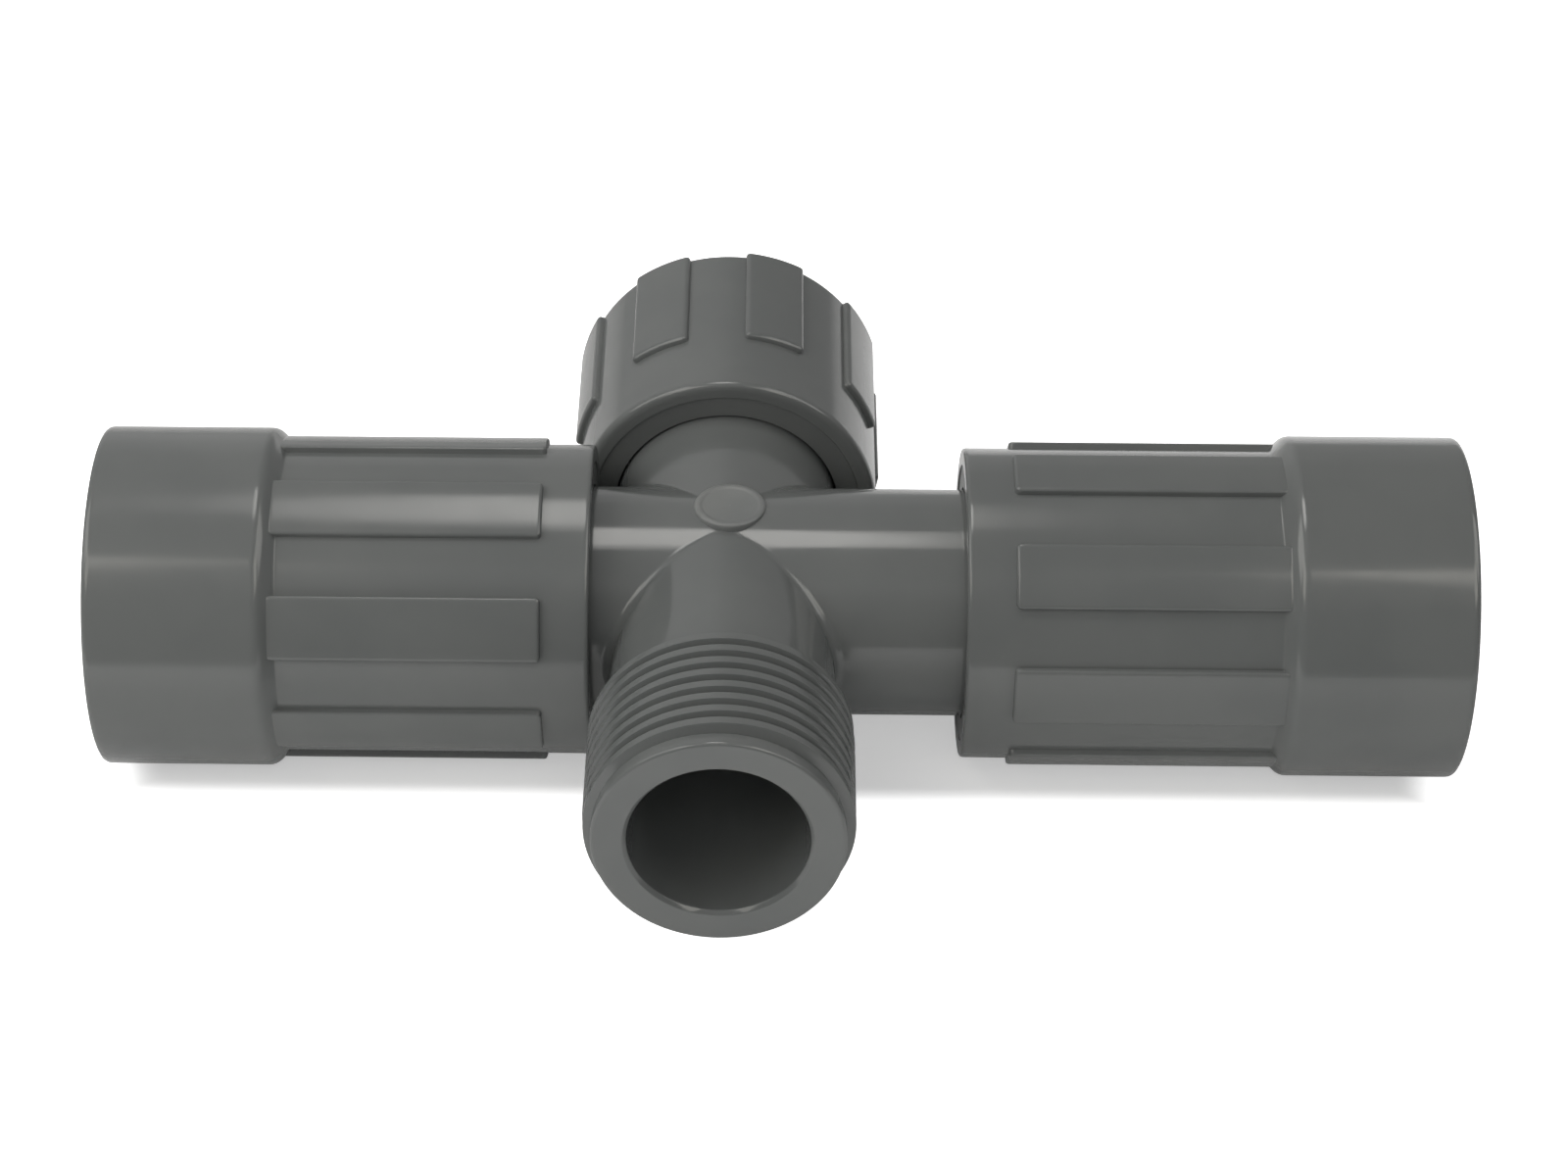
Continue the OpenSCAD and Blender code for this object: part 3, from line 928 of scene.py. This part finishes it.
# Floor and light.
def floor_material():
    """White towards the camera through a painted glow, with the fitting's soft shadow kept near it; a weaker
    painted glow shows in reflections and lights the fitting. Places on it are in metres.
    """
    material = bpy.data.materials.new("white_table")
    material.use_nodes = True
    tree = material.node_tree
    tree.nodes.clear()
    out = tree.nodes.new("ShaderNodeOutputMaterial")
    paper = tree.nodes.new("ShaderNodeBsdfDiffuse")
    place = tree.nodes.new("ShaderNodeTexCoord")
    fibres = noise_node(tree, place.outputs["Object"], 400.0, 2.0)
    tone = mix_colour(tree, fibres, (0.79, 0.79, 0.79, 1), (0.81, 0.81, 0.81, 1))
    join(tree, tone, paper.inputs["Color"])
    glow = tree.nodes.new("ShaderNodeEmission")
    glow.inputs["Color"].default_value = (1, 1, 1, 1)
    split = tree.nodes.new("ShaderNodeSeparateXYZ")
    join(tree, place.outputs["Object"], split.inputs[0])
    rays = tree.nodes.new("ShaderNodeLightPath")
    x, y = split.outputs[0], split.outputs[1]
    # Painted light: a glow on the floor that the glossy plastic mirrors, and a glow that throws painted
    # bounce light back onto the fitting.
    ahead = range_node(tree, y, -0.11, -0.03, 0.5, 0.06)
    across = range_node(tree, x, -0.08, 0.04, 1.0, 0.55)
    behind = range_node(tree, y, 0.0, 0.04, 0.0, 1.0)
    beside = range_node(tree, x, 0.0, 0.05, 0.0, 0.4)
    mirrored = maths(tree, "MULTIPLY", ahead, across)
    mirrored = maths(tree, "ADD", mirrored, maths(tree, "MULTIPLY", behind, beside))
    mirrored = maths(tree, "MULTIPLY", mirrored, rays.outputs["Is Glossy Ray"])
    # Painted bounce light: the floor glows for diffuse rays, most in front of the fitting.
    painted_bounce_glow = range_node(tree, y, -0.11, -0.03, 0.95, 0.15)
    painted_bounce_glow = maths(tree, "MULTIPLY", painted_bounce_glow, rays.outputs["Is Diffuse Ray"])
    # Painted white seen by the camera: a glow that hides the fitting's shadow on the open floor, weaker in
    # the shadow strip under the sleeves and round the front mouth, where the real shadow stays.
    wide = maths(tree, "DIVIDE", x, 0.0155)
    long = maths(tree, "DIVIDE", maths(tree, "ADD", y, 0.0183), 0.0202)
    wide = maths(tree, "MULTIPLY", wide, wide)
    long = maths(tree, "MULTIPLY", long, long)
    spread = maths(tree, "SQRT", maths(tree, "ADD", wide, long))
    outside = range_node(tree, spread, 1.03, 1.14, 0.0, 1.0)
    past_neck = range_node(tree, y, -0.038, -0.033, 0.0, 1.0)
    off_mouth = maths(tree, "MAXIMUM", outside, past_neck)
    below = range_node(tree, y, -0.0158, -0.011, 1.0, 0.0)
    below = maths(tree, "MULTIPLY", below, off_mouth)
    front = maths(tree, "MAXIMUM", below, range_node(tree, y, -0.0435, -0.0405, 1.0, 0.0))
    back = range_node(tree, y, 0.02, 0.035, 0.0, 1.0)
    left = range_node(tree, x, -0.083, -0.074, 1.0, 0.0)
    right = range_node(tree, x, 0.088, 0.095, 0.0, 1.0)
    # Painted light: where this mask is high, the glow whitens the floor and hides the shadow.
    painted_white_mask = maths(tree, "MAXIMUM", front, back)
    painted_white_mask = maths(tree, "MAXIMUM", painted_white_mask, maths(tree, "MAXIMUM", left, right))
    white = maths(tree, "ADD", maths(tree, "MULTIPLY", painted_white_mask, 0.7), 0.42)
    seen = maths(tree, "MULTIPLY", rays.outputs["Is Camera Ray"], white)
    strength = maths(tree, "ADD", seen, maths(tree, "ADD", mirrored, painted_bounce_glow))
    join(tree, strength, glow.inputs["Strength"])
    both = tree.nodes.new("ShaderNodeAddShader")
    join(tree, paper.outputs[0], both.inputs[0])
    join(tree, glow.outputs[0], both.inputs[1])
    join(tree, both.outputs[0], out.inputs["Surface"])
    return material


TABLE_FRONT = -0.16
TABLE_BACK = 2.0
TABLE_SIDE = 2.0


def make_floor():
    low = cad_box[0][2]
    mesh = bpy.data.meshes.new("table")
    corners = [
        (-TABLE_SIDE, TABLE_FRONT, low),
        (TABLE_SIDE, TABLE_FRONT, low),
        (TABLE_SIDE, TABLE_BACK, low),
        (-TABLE_SIDE, TABLE_BACK, low),
    ]
    mesh.from_pydata(corners, [], [(0, 1, 2, 3)])
    mesh.materials.append(floor_material())
    table = bpy.data.objects.new("table", mesh)
    bpy.context.scene.collection.objects.link(table)


make_floor()


# Brightness of the room, and its share in what is mirrored on each side and in soft light.
ROOM_FRONT = 0.52
ROOM_BACK = 0.58
ROOM_LEFT = 0.4
ROOM_RIGHT = 0.63
ROOM_SHADE = 0.75
ROOM_SOFT = 0.5


def make_world():
    """A white studio: bright behind and to the sides, dimmer on the side where the camera stands."""
    world = bpy.data.worlds.new("white_studio")
    bpy.context.scene.world = world
    world.use_nodes = True
    tree = world.node_tree
    tree.nodes.clear()
    out = tree.nodes.new("ShaderNodeOutputWorld")
    place = tree.nodes.new("ShaderNodeTexCoord")
    split = tree.nodes.new("ShaderNodeSeparateXYZ")
    join(tree, place.outputs["Generated"], split.inputs[0])
    # A direction's three parts run from -1 to 1: to the right, away from the camera and up.
    x, y, z = split.outputs
    back = range_node(tree, y, -0.45, 0.35, ROOM_FRONT, ROOM_BACK)
    left = range_node(tree, x, -1.0, -0.3, ROOM_LEFT, 1.0)
    right = range_node(tree, x, -0.12, 0.15, 1.0, ROOM_RIGHT)
    ahead = range_node(tree, y, -0.5, 0.0, 1.0, 0.0)
    low = range_node(tree, z, 0.5, 0.9, 1.0, 0.0)
    shade = maths(tree, "MULTIPLY", maths(tree, "MULTIPLY", ahead, low), ROOM_SHADE)
    shade = maths(tree, "SUBTRACT", 1.0, shade)
    mirrored = maths(tree, "MULTIPLY", maths(tree, "MULTIPLY", left, right), shade)
    rays = tree.nodes.new("ShaderNodeLightPath")
    share = tree.nodes.new("ShaderNodeMix")
    join(tree, rays.outputs["Is Glossy Ray"], share.inputs[0])
    share.inputs[2].default_value = ROOM_SOFT
    join(tree, mirrored, share.inputs[3])
    fill = tree.nodes.new("ShaderNodeBackground")
    fill.inputs["Color"].default_value = (1.0, 1.0, 1.0, 1)
    join(tree, maths(tree, "MULTIPLY", back, share.outputs[0]), fill.inputs["Strength"])
    seen = tree.nodes.new("ShaderNodeBackground")
    seen.inputs["Color"].default_value = (1.0, 1.0, 1.0, 1)
    seen.inputs["Strength"].default_value = 1.0
    pick = tree.nodes.new("ShaderNodeMixShader")
    join(tree, rays.outputs["Is Camera Ray"], pick.inputs[0])
    join(tree, fill.outputs[0], pick.inputs[1])
    join(tree, seen.outputs[0], pick.inputs[2])
    join(tree, pick.outputs[0], out.inputs["Surface"])


make_world()


def make_lamp(name, place, aim, size, brightness, colour, works="both", face="RECTANGLE"):
    """A flat soft box whose face shows the given brightness, in mirrored light, in soft light or in both."""
    data = bpy.data.lights.new(name, "AREA")
    data.shape = face
    data.size, data.size_y = size
    data.energy = brightness * math.pi * size[0] * size[1] * (math.pi / 4 if face == "ELLIPSE" else 1.0)
    data.color = colour
    lamp = bpy.data.objects.new(name, data)
    lamp.visible_glossy = works != "soft"
    lamp.visible_diffuse = works != "mirrored"
    lamp.location = place
    lamp.rotation_euler = (Vector(aim) - Vector(place)).to_track_quat("-Z", "Y").to_euler()
    bpy.context.scene.collection.objects.link(lamp)


WHITE = (1, 1, 1)
PALE = (1, 0.985, 0.96)
CREAM = (1, 0.975, 0.93)
WARM = (1.0, 0.96, 0.88)
DAYLIGHT = (1.0, 0.98, 0.94)
make_lamp("over_box", (-0.07, 0.23, 1.0), (-0.07, 0.23, 0), (0.27, 0.5), 2.6, PALE, face="ELLIPSE")
make_lamp("over_core", (-0.025, 0.24, 0.98), (-0.025, 0.24, 0), (0.21, 0.36), 2.7, CREAM)
make_lamp("over_fill", (-0.03, 0.2, 1.0), (-0.03, 0.2, 0), (0.3, 0.4), 3.2, WHITE, "soft")
make_lamp("left_box", (-0.57, -0.69, 1.0), (0, 0, 0), (0.5, 0.6), 2.5, WARM)
make_lamp("right_box", (0.58, -0.72, 1.0), (0, 0, 0), (0.5, 0.6), 2.7, WARM, "mirrored")
make_lamp("left_window", (-0.95, -0.1, 1.0), (-0.3, 0, 0), (0.8, 1.0), 2.2, DAYLIGHT, "mirrored")
make_lamp("right_window", (0.95, -0.1, 1.0), (0.3, 0, 0), (0.8, 1.0), 2.2, DAYLIGHT, "mirrored")
make_lamp("left_fill", (-0.38, -0.08, 0.34), (0, 0, 0), (0.34, 0.34), 2.35, WHITE, "soft")
make_lamp("front_fill", (0.0, -0.48, 0.35), (0, 0, 0), (0.3, 0.3), 1.8, WHITE, "soft")

bpy.context.scene.view_settings.view_transform = "Standard"
